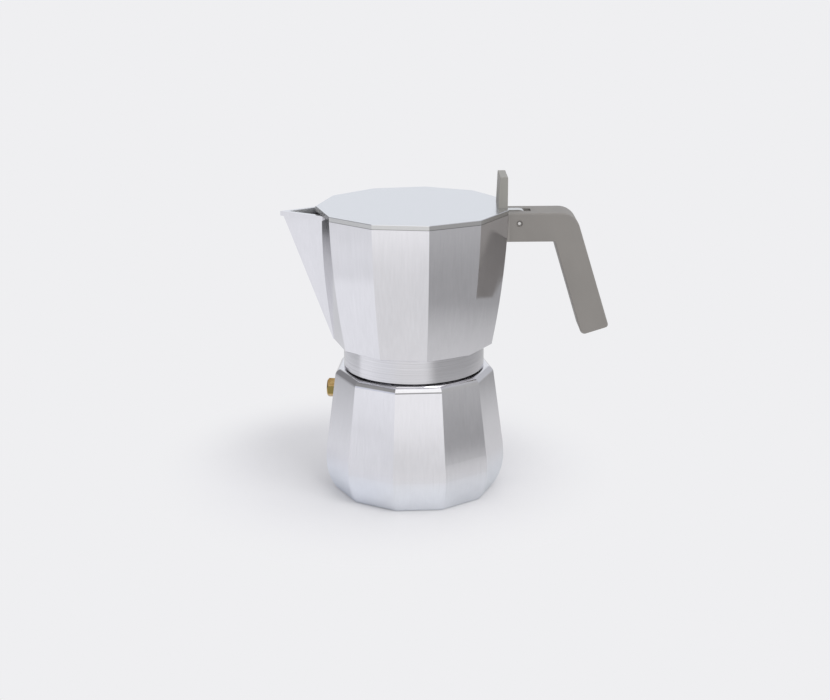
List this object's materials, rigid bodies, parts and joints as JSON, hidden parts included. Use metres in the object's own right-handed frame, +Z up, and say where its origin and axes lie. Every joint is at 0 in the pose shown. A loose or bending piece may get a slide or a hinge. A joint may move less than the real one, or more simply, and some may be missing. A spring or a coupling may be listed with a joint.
{
  "type": "moka pot",
  "caption": "Stovetop moka pot with faceted boiler and collector that screw together, a hinged lid with thumb lever, an L-shaped handle and a sprung safety valve.",
  "frame": {"origin": "on the boiler's vertical axis at the base plane it stands on", "axes": "+Z up along the boiler's axis, +X towards the handle, the spout along -X, the lid's hinge pin along +Y"},
  "size_m": [0.1943, 0.114, 0.1932],
  "materials": {
    "cast_aluminium": "brushed cast aluminium, satin",
    "lid_aluminium": "satin rolled aluminium",
    "sheet_aluminium": "spun sheet aluminium",
    "gasket_rubber": "white silicone rubber",
    "washer_fibre": "red fibre",
    "valve_brass": "machined brass",
    "steel": "bright steel",
    "handle_plastic": "moulded warm grey thermoplastic"
  },
  "bodies": {
    "boiler": {"boiler": "cast_aluminium", "safety_valve_body": "valve_brass", "safety_valve_washer": "washer_fibre", "safety_valve_retainer": "valve_brass", "safety_valve_spring": "steel", "funnel_basket": "sheet_aluminium", "funnel_stem": "sheet_aluminium", "funnel_strainer": "sheet_aluminium"},
    "valve_plunger": {"safety_valve_plunger": "valve_brass"},
    "seal": {"gasket": "gasket_rubber", "filter_plate": "sheet_aluminium"},
    "collector": {"collector": "cast_aluminium", "column_cap": "sheet_aluminium", "handle": "handle_plastic", "handle_screw": "steel", "hinge_pin": "steel"},
    "lid": {"lid": "lid_aluminium", "thumb_lever": "handle_plastic", "lever_screws": "steel"}
  },
  "joints": [
    {"name": "collector_lift", "type": "slide", "parent": "boiler", "child": "seal", "axis": [0, 0, 1], "range_m": [0, 0.01]},
    {"name": "collector_turn", "type": "hinge", "parent": "seal", "child": "collector", "pos_m": [0, 0, 0.085], "axis": [0, 0, 1], "range_deg": [0, 900]},
    {"name": "lid_hinge", "type": "hinge", "parent": "collector", "child": "lid", "pos_m": [0.0621, 0, 0.1656], "axis": [0, 1, 0], "range_deg": [0, 90]},
    {"name": "valve_plunger_slide", "type": "slide", "parent": "boiler", "child": "valve_plunger", "axis": [-0.9948, 0.1017, 0], "range_m": [0, 0.0015], "stiffness_N_per_m": 1500, "deforming": ["safety_valve_spring"]}
  ],
  "couplings": [
    {"joint": "collector_lift", "follows": "collector_turn", "m_per_rad": 0.00063662}
  ]
}
